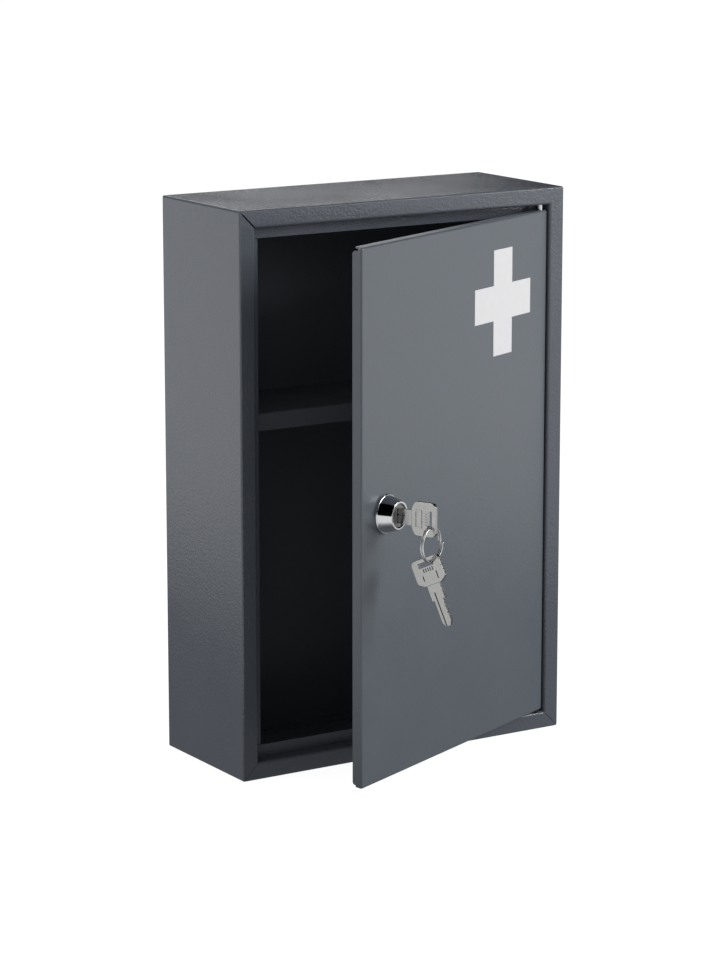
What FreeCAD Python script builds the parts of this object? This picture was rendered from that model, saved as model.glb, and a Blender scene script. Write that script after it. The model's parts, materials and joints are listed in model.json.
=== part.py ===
import FreeCAD, Part
import Sketcher
import math
import os
import re

# Wall medicine cabinet of folded sheet steel with a flush, lockable pan door.
# Frame: the origin is the centre of the four wall holes on the back face.
# The cabinet faces -Y, its right side is +X and +Z is up. Lengths are in millimetres.

SIZES = [
    # cabinet body
    ("cabinet_width", 215.0, "outside, along X"),
    ("cabinet_height", 320.0, "outside, along Z"),
    ("cabinet_depth", 85.0, "back face to front flange, along Y"),
    ("sheet_gauge", 0.8, "steel sheet of body, back, shelf and door"),
    ("fold_radius", 1.2, "outside radius of the four long body folds"),
    ("front_edge_radius", 1.0, "outside radius between walls and front flange"),
    ("flange_width", 10.0, "front flange, from outside to opening"),
    ("opening_bend_radius", 1.6, "outside radius of the bend into the rebate"),
    ("rebate_depth", 9.5, "front flange to the face of the stop lips"),
    ("lip_width", 6.8, "stop lips, inwards from the opening"),
    ("lip_slit", 0.4, "relief between side lip and top or bottom lip"),
    ("lip_hinge_relief", 1.0, "lips end this far before the hinge side"),
    ("mitre_start", 1.6, "flange mitre starts this far from the outside"),
    ("open_mitre_leg", 0.32, "half leg of the open slit at the upper left mitre"),
    ("shut_mitre_leg", 0.08, "half leg of the two lower mitre slits"),
    # back panel
    ("weld_flange_depth", 8.0, "folded rim of the back panel"),
    ("weld_gap", 0.05, "sheet to sheet at spot welds"),
    ("pan_radius", 0.9, "outside fold radius of back panel and shelf"),
    ("wall_hole_diameter", 6.0, "holes for wall screws"),
    ("wall_hole_spacing_x", 150.0, "between wall holes, along X"),
    ("wall_hole_spacing_z", 240.0, "between wall holes, along Z"),
    # shelf
    ("shelf_height", 205.0, "top of the shelf above the cabinet's underside"),
    ("shelf_setback", 14.0, "front flange to the shelf's front edge"),
    ("shelf_rim", 9.8, "folded rim of the shelf"),
    ("shelf_rear_gap", 0.3, "shelf to the rim of the back panel"),
    # door
    ("door_gap_side", 1.3, "left and right of the closed door"),
    ("door_gap_top", 3.0, "above the closed door"),
    ("door_gap_bottom", 1.2, "below the closed door"),
    ("door_thickness", 6.0, "depth of the door pan"),
    ("door_corner_radius", 1.5, "corners of the door, seen from the front"),
    ("door_bend_radius", 1.2, "outside bend from the door's face to its rim"),
    ("rim_notch", 1.8, "relief between the door's rims at each corner"),
    ("rim_end_radius", 1.8, "rounding at the ends of the door's rims"),
    ("door_open_angle", 24.2, "degrees, door at rest"),
    ("cross_span", 60.0, "white cross, tip to tip"),
    ("cross_arm", 19.9, "width of the cross's arms"),
    ("cross_drop", 46.8, "door's top edge to the centre of the cross"),
    ("cross_inset", 48.6, "door's hinge edge to the centre of the cross"),
    ("decal_thickness", 0.12, "vinyl film of the cross"),
    # hinge
    ("hinge_inset", 3.4, "door's hinge edge to the pin axis"),
    ("hinge_setback", 3.0, "door's front face to the pin axis"),
    ("pin_diameter", 3.0, "hinge pins"),
    ("pin_seat_gap", 0.02, "pin to its hole in the body, radial"),
    ("pin_running_gap", 0.06, "pin to its hole in the door, radial"),
    ("pin_reach", 2.6, "pin past the door's sheet"),
    ("pin_chamfer", 0.5, "at the pin's tip"),
    ("pin_head_diameter", 4.2, "hinge pin heads"),
    ("pin_head_height", 1.2, "hinge pin heads"),
    ("slip_washer_diameter", 6.0, "slip washer on the lower pin"),
    ("slip_washer_play", 0.06, "slip washer to the door's underside"),
    # lock body
    ("lock_inset", 22.8, "door's free edge to the lock axis"),
    ("lock_rise", 1.2, "lock axis above the middle of the door"),
    ("head_base_diameter", 22.0, "foot ring of the lock head"),
    ("head_base_height", 1.7, "foot ring of the lock head"),
    ("cone_base_diameter", 20.6, "cone of the lock head, at its foot"),
    ("cone_front_diameter", 16.0, "cone of the lock head, at its rim"),
    ("head_projection", 9.4, "door's face to the rim of the lock head"),
    ("head_rounding", 0.5, "rounding of foot ring and rim"),
    ("mouth_chamfer", 0.5, "chamfer inside the rim"),
    ("barrel_diameter", 16.0, "threaded barrel"),
    ("barrel_flats", 13.6, "across the barrel's two flats"),
    ("barrel_length", 9.9, "door's face to the barrel's rear face"),
    ("barrel_gap", 0.15, "barrel to its hole in the door"),
    ("nut_flats", 20.0, "lock nut, across flats"),
    ("nut_height", 3.5, "lock nut"),
    ("nut_chamfer", 0.4, "lock nut, on its rims"),
    ("thread_gap", 0.08, "nut and washers to what they sit on, radial"),
    ("tooth_washer_diameter", 20.5, "toothed washer"),
    ("tooth_washer_height", 0.6, "toothed washer"),
    ("tooth_notch", 1.6, "gaps between the washer's teeth"),
    # lock core
    ("plug_diameter", 11.4, "turning core"),
    ("plug_running_gap", 0.05, "core to its bore, radial and axial"),
    ("plug_recess", 0.8, "rim of the lock head to the face of the core"),
    ("collar_diameter", 12.6, "collar at the front of the core"),
    ("collar_height", 1.2, "collar at the front of the core"),
    ("groove_width", 7.8, "wafer grooves in the lock body"),
    ("groove_depth", 0.7, "wafer grooves in the lock body"),
    ("groove_roof", 0.6, "collar seat to the end of the wafer grooves"),
    ("wafer_width", 6.4, "wafer, without its lug"),
    ("wafer_height", 10.0, "wafer"),
    ("wafer_corner", 1.3, "wafer corners, cut off"),
    ("wafer_gauge", 0.8, "wafer"),
    ("wafer_gap", 0.1, "wafer to its slot"),
    ("wafer_pitch", 1.8, "from wafer to wafer"),
    ("wafer_lead", 2.2, "face of the core to the first wafer"),
    ("wafer_bar", 1.7, "wafer, above and below its window"),
    ("wafer_lug", 1.0, "lug that the spring pushes"),
    ("lug_height", 0.8, "lug that the spring pushes"),
    ("spring_pocket", 4.8, "height of the pocket for spring and lug"),
    ("spring_diameter", 0.8, "tumbler spring, outside"),
    ("spring_bore", 0.4, "tumbler spring, inside"),
    ("tail_diameter", 9.0, "double flatted tail of the core"),
    ("tail_flats", 7.0, "across the flats of the tail"),
    ("tail_gap", 0.08, "tail to washer and cam"),
    ("tail_relief", 0.2, "tail ends this far inside the cam"),
    ("stop_washer_diameter", 11.0, "lug washer, disc"),
    ("stop_washer_height", 0.8, "lug washer"),
    ("stop_washer_play", 0.05, "barrel to lug washer"),
    ("stop_lug_reach", 7.4, "lug washer, axis to the lug's end"),
    ("stop_lug_cut", 3.4, "lug washer, cut-off corner of the lug"),
    ("stop_post_width", 2.2, "posts on the barrel that stop the lug"),
    ("stop_post_root", 6.0, "axis to the posts"),
    ("stop_post_end", 7.8, "axis to the posts' outside"),
    ("stop_gap", 0.3, "lug to post at both ends of the turn"),
    ("cam_play", 0.1, "lug washer to cam"),
    ("cam_gauge", 1.5, "cam"),
    ("cam_width", 13.0, "cam, at the hub"),
    ("cam_tip_width", 9.0, "cam, at its tip"),
    ("cam_heel", 7.0, "cam, axis to the rounded heel"),
    ("cam_hub", 6.0, "cam, axis to where it narrows"),
    ("cam_reach", 22.2, "cam, axis to its tip"),
    ("cam_corner_radius", 2.4, "cam corners"),
    ("spring_washer_diameter", 9.6, "spring washer under the screw"),
    ("spring_washer_height", 0.8, "spring washer under the screw"),
    ("spring_washer_slit", 0.6, "spring washer under the screw"),
    ("screw_diameter", 4.0, "cam screw"),
    ("screw_gap", 0.08, "cam screw to its hole, radial"),
    ("screw_length", 5.4, "cam screw, under its head"),
    ("screw_head_diameter", 8.0, "cam screw"),
    ("screw_head_height", 2.0, "cam screw"),
    ("screw_head_rounding", 0.9, "cam screw"),
    ("recess_span", 4.4, "cross recess in the screw"),
    ("recess_width", 1.0, "cross recess in the screw"),
    ("recess_depth", 1.2, "cross recess in the screw"),
    # keys
    ("key_gauge", 2.4, "bow of the key"),
    ("blade_gauge", 1.7, "blade and neck of the key"),
    ("blade_height", 5.8, "blade of the key"),
    ("blade_length", 15.0, "blade of the key, shoulder to tip"),
    ("blade_point", 2.6, "taper at the blade's tip"),
    ("blade_tip_height", 3.0, "flat end of the blade's tip"),
    ("blade_groove", 0.9, "grooves along the blade"),
    ("blade_groove_depth", 0.5, "grooves along the blade"),
    ("blade_groove_rise", 0.9, "grooves above the blade's middle line"),
    ("bit_width", 1.2, "bits in the blade's edge"),
    ("bit_depth", 0.7, "deepest bit in the blade's edge"),
    ("key_clearance", 0.3, "key to keyway, wafers and face of the core"),
    ("neck_height", 8.4, "neck of the key"),
    ("neck_length", 8.6, "neck of the key"),
    ("bow_shoulder", 11.0, "bow of the key, where it starts"),
    ("bow_slope", 2.2, "bow of the key, length of its shoulders"),
    ("bow_height", 18.8, "bow of the key, across"),
    ("bow_length", 15.0, "bow of the key, along"),
    ("bow_crown", 1.6, "bow of the key, cut-off outer corners"),
    ("bow_corner_radius", 2.2, "bow of the key, rounding in its outline"),
    ("bow_edge_radius", 0.25, "bow of the key, rounding of its rims"),
    ("slot_width", 2.9, "ring slot in the bow, along the key"),
    ("slot_length", 10.0, "ring slot in the bow, across the key"),
    ("slot_bar", 2.0, "bow outside the slot"),
    ("relief", 0.45, "raised frame and ribs on the bow"),
    ("frame_height", 10.0, "raised frame, across the key"),
    ("frame_length", 4.4, "raised frame, along the key"),
    ("frame_rim", 0.7, "raised frame, its rim"),
    ("frame_start", 2.2, "start of the bow to the frame"),
    ("rib_width", 0.8, "ribs between frame and slot"),
    ("rib_length", 2.0, "ribs between frame and slot"),
    ("rib_pitch", 1.5, "from rib to rib"),
    ("rib_start", 7.4, "start of the bow to the ribs"),
    # ring
    ("ring_diameter", 18.8, "split ring, middle of its wire"),
    ("wire_diameter", 0.9, "split ring, its wire"),
    ("wire_pitch", 1.34, "split ring, from turn to turn"),
    ("ring_hang_gap", 0.5, "ring to the end of the key's slot"),
    ("ring_end_gap", 0.4, "ring to the end of the spare key's slot"),
    ("spare_tilt", 24.4, "degrees, spare key at rest"),
    # cuts
    ("overrun", 1.0, "how far every cut runs past what it cuts"),
]

WAFER_COUNT = 5
TOOTH_COUNT = 12
RIB_COUNT = 5
RING_TURNS = 2
BIT_DEPTH_SHARES = [0.55, 1.0, 0.3, 0.75, 0.45]
NEAR_SHARE = 0.001  # share of the sheet gauge within which two places count as the same

doc = FreeCAD.newDocument("medicine_cabinet")
sheet = doc.addObject("Spreadsheet::Sheet", "sizes")
for row, (name, value, note) in enumerate(SIZES, start=1):
    sheet.set("A%d" % row, name)
    sheet.set("B%d" % row, str(value))
    sheet.set("C%d" % row, note)
    sheet.setAlias("B%d" % row, name)
doc.recompute()

SIZE_NAMES = {name for name, value, note in SIZES}
X_AXIS = FreeCAD.Vector(1, 0, 0)
Z_AXIS = FreeCAD.Vector(0, 0, 1)
nodes = []


def size(name):
    """Value of a named size, as a number."""
    return float(sheet.get(name))


def formula(text):
    """Turns size names in a formula into references to the sheet."""
    def refer(match):
        word = match.group()
        return "sizes." + word if word in SIZE_NAMES else word
    return re.sub(r"[a-z][a-z_0-9]*", refer, text)


def same_place(first, second):
    return abs(first - second) < NEAR_SHARE * size("sheet_gauge")


# Tools for sketches and features

def new_body(label):
    body = doc.addObject("PartDesign::Body", label)
    body.Label = label
    nodes.append(body)
    return body


def sketch_on(body, role, offset="0", across="0", along="0"):
    """Sketch on one of the body's own planes, moved along its normal and within it."""
    sketch = body.newObject("Sketcher::SketchObject", body.Name + "_sketch")
    plane = [item for item in body.Origin.OriginFeatures if item.Role == role][0]
    sketch.AttachmentSupport = [(plane, "")]
    sketch.MapMode = "FlatFace"
    for way, shift in (("x", across), ("y", along), ("z", offset)):
        sketch.setExpression("AttachmentOffset.Base." + way, formula(shift))
    return sketch


def drive(sketch, constraint, text):
    """Adds a constraint and ties it to a formula."""
    index = sketch.addConstraint(constraint)
    sketch.setExpression("Constraints[%d]" % index, formula(text))


def outline(sketch, corners):
    """Closed outline of straight lines through corners given as formulas."""
    count = len(corners)
    steps = [2 * math.pi * step / count for step in range(count)]
    guess = [FreeCAD.Vector(math.cos(turn), math.sin(turn), 0) for turn in steps]
    lines = []
    for step in range(count):
        line = Part.LineSegment(guess[step], guess[(step + 1) % count])
        lines.append(sketch.addGeometry(line, False))
    for step, line in enumerate(lines):
        follower = lines[(step + 1) % count]
        sketch.addConstraint(Sketcher.Constraint("Coincident", line, 2, follower, 1))
    for line, start, (across, along) in zip(lines, guess, corners):
        drive(sketch, Sketcher.Constraint("DistanceX", -1, 1, line, 1, start.x), across)
        drive(sketch, Sketcher.Constraint("DistanceY", -1, 1, line, 1, start.y), along)


def rectangle(sketch, left, low, right, high):
    outline(sketch, [(left, low), (right, low), (right, high), (left, high)])


def centred_rectangle(sketch, half_width, half_height):
    rectangle(sketch, "-" + half_width, "-" + half_height, half_width, half_height)


def circle(sketch, diameter, across="0", along="0"):
    start = size("wire_diameter")
    index = sketch.addGeometry(Part.Circle(FreeCAD.Vector(0, 0, 0), Z_AXIS, start / 2), False)
    drive(sketch, Sketcher.Constraint("DistanceX", -1, 1, index, 3, 0), across)
    drive(sketch, Sketcher.Constraint("DistanceY", -1, 1, index, 3, 0), along)
    drive(sketch, Sketcher.Constraint("Diameter", index, start), diameter)


def double_flat(sketch, diameter, flats, gap="0"):
    """Circle about the sketch's origin with two flats, left and right, opened by a gap."""
    reach = size(diameter) / 2
    half = size(flats) / 2
    rise = math.sqrt(reach ** 2 - half ** 2)
    turn = math.atan2(rise, half)
    disc = Part.Circle(FreeCAD.Vector(0, 0, 0), Z_AXIS, reach)
    corners = [FreeCAD.Vector(x, y, 0) for x, y in
               ((half, -rise), (half, rise), (-half, rise), (-half, -rise))]
    right = sketch.addGeometry(Part.LineSegment(corners[0], corners[1]), False)
    upper = sketch.addGeometry(Part.ArcOfCircle(disc, turn, math.pi - turn), False)
    left = sketch.addGeometry(Part.LineSegment(corners[2], corners[3]), False)
    lower = sketch.addGeometry(Part.ArcOfCircle(disc, math.pi + turn, 2 * math.pi - turn), False)
    for first, second in ((right, upper), (upper, left), (left, lower), (lower, right)):
        sketch.addConstraint(Sketcher.Constraint("Coincident", first, 2, second, 1))
    for arc in (upper, lower):
        sketch.addConstraint(Sketcher.Constraint("Coincident", arc, 3, -1, 1))
    for line in (right, left):
        sketch.addConstraint(Sketcher.Constraint("Vertical", line))
    sketch.addConstraint(Sketcher.Constraint("Equal", upper, lower))
    drive(sketch, Sketcher.Constraint("Diameter", upper, 2 * reach), diameter + " + 2*" + gap)
    half_flats = flats + "/2 + " + gap
    drive(sketch, Sketcher.Constraint("DistanceX", -1, 1, right, 2, half), half_flats)
    drive(sketch, Sketcher.Constraint("DistanceX", left, 1, -1, 1, half), half_flats)


def pad(body, sketch, length, against_normal=False):
    feature = body.newObject("PartDesign::Pad", body.Name + "_pad")
    feature.Profile = sketch
    feature.setExpression("Length", formula(length))
    feature.Reversed = against_normal
    doc.recompute()
    return feature


def pocket(body, sketch, length, along_normal=False, both_sides=False):
    """Cuts a sketch out of the body and makes sure that it took something away."""
    before = body.Tip.Shape.Volume
    feature = body.newObject("PartDesign::Pocket", body.Name + "_pocket")
    feature.Profile = sketch
    feature.setExpression("Length", formula(length))
    feature.Reversed = along_normal
    if both_sides:
        feature.SideType = "Symmetric"
    doc.recompute()
    if not feature.Shape.Volume < before:
        raise RuntimeError("a cut takes nothing away in " + body.Label)
    return feature


def revolve(body, corners):
    """Turns an outline of (radius, height) corners about the body's Z axis."""
    sketch = sketch_on(body, "XZ_Plane")
    outline(sketch, corners)
    feature = body.newObject("PartDesign::Revolution", body.Name + "_turned")
    feature.Profile = sketch
    feature.ReferenceAxis = (sketch, ["V_Axis"])
    doc.recompute()
    return feature


def edges_where(body, test):
    """Names of the edges of the body that pass a test, which takes an edge."""
    found = []
    for number, edge in enumerate(body.Tip.Shape.Edges, start=1):
        if test(edge):
            found.append("Edge%d" % number)
    if not found:
        raise RuntimeError("no edge found in " + body.Label)
    return found


def dress(body, kind, names, width):
    """Rounds or chamfers named edges of the body."""
    base = body.Tip
    feature = body.newObject("PartDesign::" + kind, body.Name + "_" + kind.lower())
    feature.Base = (base, names)
    feature.setExpression("Radius" if kind == "Fillet" else "Size", formula(width))
    doc.recompute()
    return feature


def polar_copies(body, feature, count):
    """Repeats a feature about the body's Z axis."""
    pattern = body.newObject("PartDesign::PolarPattern", body.Name + "_around")
    pattern.Originals = [feature]
    axis = [item for item in body.Origin.OriginFeatures if item.Role == "Z_Axis"][0]
    pattern.Axis = (axis, [""])
    pattern.Angle = 360
    pattern.Occurrences = count
    body.Tip = pattern
    doc.recompute()


def lies_in(axis, place):
    """Test for edges that lie in the plane where one coordinate has a value."""
    def test(edge):
        box = edge.BoundBox
        low = {"x": box.XMin, "y": box.YMin, "z": box.ZMin}[axis]
        high = {"x": box.XMax, "y": box.YMax, "z": box.ZMax}[axis]
        return same_place(low, place) and same_place(high, place)
    return test


def runs_along(axis):
    """Test for straight edges along one coordinate."""
    def test(edge):
        box = edge.BoundBox
        spans = {"x": box.XLength, "y": box.YLength, "z": box.ZLength}
        along = spans.pop(axis)
        return along > 0 and all(same_place(span, 0) for span in spans.values())
    return test


# Shared places, as formulas

OPEN_X = "(cabinet_width/2 - flange_width)"
OPEN_Z = "(cabinet_height/2 - flange_width)"
LIP_BACK = "(cabinet_depth - rebate_depth - sheet_gauge)"
INSIDE_X = "(cabinet_width/2 - sheet_gauge - weld_gap)"
INSIDE_Z = "(cabinet_height/2 - sheet_gauge - weld_gap)"
DOOR_X = "(cabinet_width/2 - flange_width - door_gap_side)"
DOOR_TOP = "(cabinet_height/2 - flange_width - door_gap_top)"
DOOR_LOW = "(cabinet_height/2 - flange_width - door_gap_bottom)"
DOOR_BACK = "(cabinet_depth - door_thickness)"
LOCK_HEIGHT = "((door_gap_bottom - door_gap_top)/2 + lock_rise)"
HINGE_X = "(" + DOOR_X + " - hinge_inset)"
HINGE_Y = "(hinge_setback - cabinet_depth)"
PIN_HOLE_BODY = "(pin_diameter + 2*pin_seat_gap)"
PIN_HOLE_DOOR = "(pin_diameter + 2*pin_running_gap)"
PLUG_FACE = "(head_projection - plug_recess)"
PLUG_SEAT = "(" + PLUG_FACE + " - collar_height - plug_running_gap)"
PLUG_BORE = "(plug_diameter/2 + plug_running_gap)"
COLLAR_BORE = "(collar_diameter/2 + plug_running_gap)"
NUT_TOP = "(sheet_gauge + tooth_washer_height)"
STOP_TOP = "(barrel_length + stop_washer_play)"
CAM_TOP = "(" + STOP_TOP + " + stop_washer_height + cam_play)"
CAM_BACK = "(" + CAM_TOP + " + cam_gauge)"
SCREW_SEAT = "(" + CAM_BACK + " + spring_washer_height)"
BOW_END = "(neck_length + bow_length)"
SLOT_MIDDLE = "(" + BOW_END + " - slot_bar - slot_width/2)"

# The same places as numbers, for placing whole pieces

open_x = size("cabinet_width") / 2 - size("flange_width")
open_z = size("cabinet_height") / 2 - size("flange_width")
door_x = open_x - size("door_gap_side")
hinge_axis = FreeCAD.Vector(
    door_x - size("hinge_inset"), size("hinge_setback") - size("cabinet_depth"), 0)
lock_place_closed = FreeCAD.Vector(
    size("lock_inset") - door_x,
    -size("cabinet_depth"),
    (size("door_gap_bottom") - size("door_gap_top")) / 2 + size("lock_rise"))
key_seat = size("head_projection") - size("plug_recess") + size("key_clearance")
slot_middle = (size("neck_length") + size("bow_length")
               - size("slot_bar") - size("slot_width") / 2)

# The door turns about the pins. In the lock's frame Z points out of the door and Y up.
door_swing = FreeCAD.Placement(
    FreeCAD.Vector(), FreeCAD.Rotation(Z_AXIS, size("door_open_angle")), hinge_axis)
lock_frame = door_swing.multiply(
    FreeCAD.Placement(lock_place_closed, FreeCAD.Rotation(X_AXIS, 90)))


# Cabinet

def make_cabinet_shell():
    """Walls, front flange, rebate and stop lips, folded from sheet."""
    body = new_body("cabinet_shell")
    block = sketch_on(body, "XZ_Plane")
    centred_rectangle(block, "cabinet_width/2", "cabinet_height/2")
    pad(body, block, "cabinet_depth")
    dress(body, "Fillet", edges_where(body, runs_along("y")), "fold_radius")
    front = lies_in("y", -size("cabinet_depth"))
    dress(body, "Fillet", edges_where(body, front), "front_edge_radius")
    inside = sketch_on(body, "XZ_Plane")
    centred_rectangle(
        inside, "(cabinet_width/2 - sheet_gauge)", "(cabinet_height/2 - sheet_gauge)")
    pocket(body, inside, "cabinet_depth - sheet_gauge", along_normal=True)
    opening = sketch_on(body, "XZ_Plane")
    centred_rectangle(opening, OPEN_X, OPEN_Z)
    pocket(body, opening, "cabinet_depth + overrun", along_normal=True)
    rebate = sketch_on(body, "XZ_Plane", LIP_BACK)
    centred_rectangle(rebate, "(" + OPEN_X + " + sheet_gauge)", "(" + OPEN_Z + " + sheet_gauge)")
    centred_rectangle(rebate, OPEN_X, OPEN_Z)
    pad(body, rebate, "rebate_depth + sheet_gauge")
    lips = sketch_on(body, "XZ_Plane", LIP_BACK)
    lip_x = "(" + OPEN_X + " - lip_width)"
    lip_z = "(" + OPEN_Z + " - lip_width)"
    lip_end = OPEN_X + " - lip_hinge_relief"
    rectangle(lips, "-" + OPEN_X, lip_z, lip_end, OPEN_Z)
    rectangle(lips, "-" + OPEN_X, "-" + OPEN_Z, lip_end, "-" + lip_z)
    rectangle(lips, "-" + OPEN_X, "lip_slit - " + lip_z, "-" + lip_x, lip_z + " - lip_slit")
    pad(body, lips, "sheet_gauge")
    opening_rim = edges_where(body, lambda edge: front(edge) and on_opening(edge))
    dress(body, "Fillet", opening_rim, "opening_bend_radius")
    cut_mitres(body)
    cut_hinge_holes(body)


def on_opening(edge):
    """True for edges on the outline of the front opening."""
    box = edge.BoundBox
    reach_x = max(abs(box.XMin), abs(box.XMax))
    reach_z = max(abs(box.ZMin), abs(box.ZMax))
    return same_place(reach_x, open_x) and same_place(reach_z, open_z)


def cut_mitres(body):
    """Slits along the mitres of the front flange: upper left open, lower ones shut, upper right welded."""
    slits = sketch_on(body, "XZ_Plane", "cabinet_depth")
    for side_x, side_z in (("-", ""), ("-", "-"), ("", "-")):
        leg = "open_mitre_leg" if (side_x, side_z) == ("-", "") else "shut_mitre_leg"
        across = leg if side_x != side_z else "-" + leg
        outer_x = side_x + "(cabinet_width/2 - mitre_start)"
        outer_z = side_z + "(cabinet_height/2 - mitre_start)"
        inner_x = side_x + OPEN_X
        inner_z = side_z + OPEN_Z
        outline(slits, [
            (outer_x + " + " + leg, outer_z + " + " + across),
            (outer_x + " - " + leg, outer_z + " - " + across),
            (inner_x + " - " + leg, inner_z + " - " + across),
            (inner_x + " + " + leg, inner_z + " + " + across)])
    pocket(body, slits, "2*sheet_gauge")


def cut_hinge_holes(body):
    """Holes for the two pins in the upper and lower rebate."""
    for level in (OPEN_Z + " - overrun", "-" + OPEN_Z + " - sheet_gauge - overrun"):
        hole = sketch_on(body, "XY_Plane", level)
        circle(hole, PIN_HOLE_BODY, HINGE_X, HINGE_Y)
        pocket(body, hole, "sheet_gauge + 2*overrun", along_normal=True)


def make_back_panel():
    """Back with a folded rim, welded between the walls, and four wall holes."""
    body = new_body("back_panel")
    block = sketch_on(body, "XZ_Plane")
    centred_rectangle(block, INSIDE_X, INSIDE_Z)
    pad(body, block, "weld_flange_depth")
    dress(body, "Fillet", edges_where(body, lies_in("y", 0)), "pan_radius")
    hollow = sketch_on(body, "XZ_Plane", "sheet_gauge")
    centred_rectangle(hollow, "(" + INSIDE_X + " - sheet_gauge)", "(" + INSIDE_Z + " - sheet_gauge)")
    pocket(body, hollow, "weld_flange_depth", along_normal=True)
    holes = sketch_on(body, "XZ_Plane")
    for side_x in ("-", ""):
        for side_z in ("-", ""):
            circle(holes, "wall_hole_diameter",
                   side_x + "wall_hole_spacing_x/2", side_z + "wall_hole_spacing_z/2")
    pocket(body, holes, "sheet_gauge + overrun", along_normal=True)


def make_shelf():
    """Shelf with a rim folded down on all four sides, welded to the walls."""
    body = new_body("shelf")
    top = "(shelf_height - cabinet_height/2)"
    front = "(shelf_setback - cabinet_depth)"
    rear = "(-weld_flange_depth - shelf_rear_gap)"
    plate = sketch_on(body, "XY_Plane", top)
    rectangle(plate, "-" + INSIDE_X, front, INSIDE_X, rear)
    pad(body, plate, "shelf_rim", against_normal=True)
    top_place = size("shelf_height") - size("cabinet_height") / 2
    dress(body, "Fillet", edges_where(body, lies_in("z", top_place)), "pan_radius")
    hollow = sketch_on(body, "XY_Plane", top + " - shelf_rim")
    rectangle(hollow, "sheet_gauge - " + INSIDE_X, front + " + sheet_gauge",
              INSIDE_X + " - sheet_gauge", rear + " - sheet_gauge")
    pocket(body, hollow, "shelf_rim - sheet_gauge", along_normal=True)


def make_hinge_pin(label, gap, place):
    """Headed pin, riveted in the rebate, that reaches through the door's rim."""
    body = new_body(label)
    tip = "-(" + gap + " + sheet_gauge + pin_reach)"
    revolve(body, [
        ("0", "sheet_gauge + pin_head_height"),
        ("pin_head_diameter/2", "sheet_gauge + pin_head_height"),
        ("pin_head_diameter/2", "sheet_gauge"),
        ("pin_diameter/2", "sheet_gauge"),
        ("pin_diameter/2", tip + " + pin_chamfer"),
        ("pin_diameter/2 - pin_chamfer", tip),
        ("0", tip)])
    body.Placement = place


def make_hinge_washer():
    """Slip washer that the door stands on at the lower pin."""
    body = new_body("hinge_washer")
    ring = sketch_on(body, "XY_Plane")
    circle(ring, "slip_washer_diameter")
    circle(ring, PIN_HOLE_DOOR)
    pad(body, ring, "door_gap_bottom - slip_washer_play")
    body.Placement = FreeCAD.Placement(hinge_axis - Z_AXIS * open_z, FreeCAD.Rotation())


# Door

def make_door_panel():
    """Pan door with notched corners and holes for the pins and the lock."""
    body = new_body("door_panel")
    block = sketch_on(body, "XZ_Plane", DOOR_BACK)
    rectangle(block, "-" + DOOR_X, "-" + DOOR_LOW, DOOR_X, DOOR_TOP)
    pad(body, block, "door_thickness")
    dress(body, "Fillet", edges_where(body, runs_along("y")), "door_corner_radius")
    front = lies_in("y", -size("cabinet_depth"))
    dress(body, "Fillet", edges_where(body, front), "door_bend_radius")
    hollow = sketch_on(body, "XZ_Plane", DOOR_BACK)
    rectangle(hollow, "sheet_gauge - " + DOOR_X, "sheet_gauge - " + DOOR_LOW,
              DOOR_X + " - sheet_gauge", DOOR_TOP + " - sheet_gauge")
    pocket(body, hollow, "door_thickness - sheet_gauge", along_normal=True)
    notches = sketch_on(body, "XZ_Plane", DOOR_BACK)
    for outer_x, inner_x in ((DOOR_X + " + overrun", DOOR_X + " - rim_notch"),
                             ("-" + DOOR_X + " - overrun", "rim_notch - " + DOOR_X)):
        rectangle(notches, outer_x, DOOR_TOP + " - rim_notch", inner_x, DOOR_TOP + " + overrun")
        rectangle(notches, outer_x, "-" + DOOR_LOW + " - overrun", inner_x, "rim_notch - " + DOOR_LOW)
    pocket(body, notches, "door_thickness - 2*door_bend_radius", along_normal=True)
    back = lies_in("y", size("door_thickness") - size("cabinet_depth"))
    rim_ends = edges_where(
        body, lambda edge: back(edge) and same_place(edge.Length, size("sheet_gauge")))
    dress(body, "Fillet", rim_ends, "rim_end_radius")
    for level in (DOOR_TOP + " - sheet_gauge - overrun", "-" + DOOR_LOW + " - overrun"):
        hole = sketch_on(body, "XY_Plane", level)
        circle(hole, PIN_HOLE_DOOR, HINGE_X, HINGE_Y)
        pocket(body, hole, "sheet_gauge + 2*overrun", along_normal=True)
    lock_hole = sketch_on(
        body, "XZ_Plane", "cabinet_depth", "lock_inset - " + DOOR_X, LOCK_HEIGHT)
    double_flat(lock_hole, "barrel_diameter", "barrel_flats", "barrel_gap")
    pocket(body, lock_hole, "sheet_gauge + overrun")
    body.Placement = door_swing


def make_cross_decal():
    """Equal-armed cross of white film on the door's face."""
    body = new_body("cross_decal")
    sketch = sketch_on(body, "XZ_Plane", "cabinet_depth")
    middle_x = DOOR_X + " - cross_inset"
    middle_z = DOOR_TOP + " - cross_drop"
    arm = "cross_arm/2"
    tip = "cross_span/2"
    turns = [(arm, tip), (arm, arm), (tip, arm)]
    turns += [(tip, "-" + arm), (arm, "-" + arm), (arm, "-" + tip)]
    turns += [("-" + arm, "-" + tip), ("-" + arm, "-" + arm), ("-" + tip, "-" + arm)]
    turns += [("-" + tip, arm), ("-" + arm, arm), ("-" + arm, tip)]
    corners = [(middle_x + " + " + across, middle_z + " + " + along) for across, along in turns]
    outline(sketch, corners)
    pad(body, sketch, "decal_thickness")
    body.Placement = door_swing


# Lock

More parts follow.
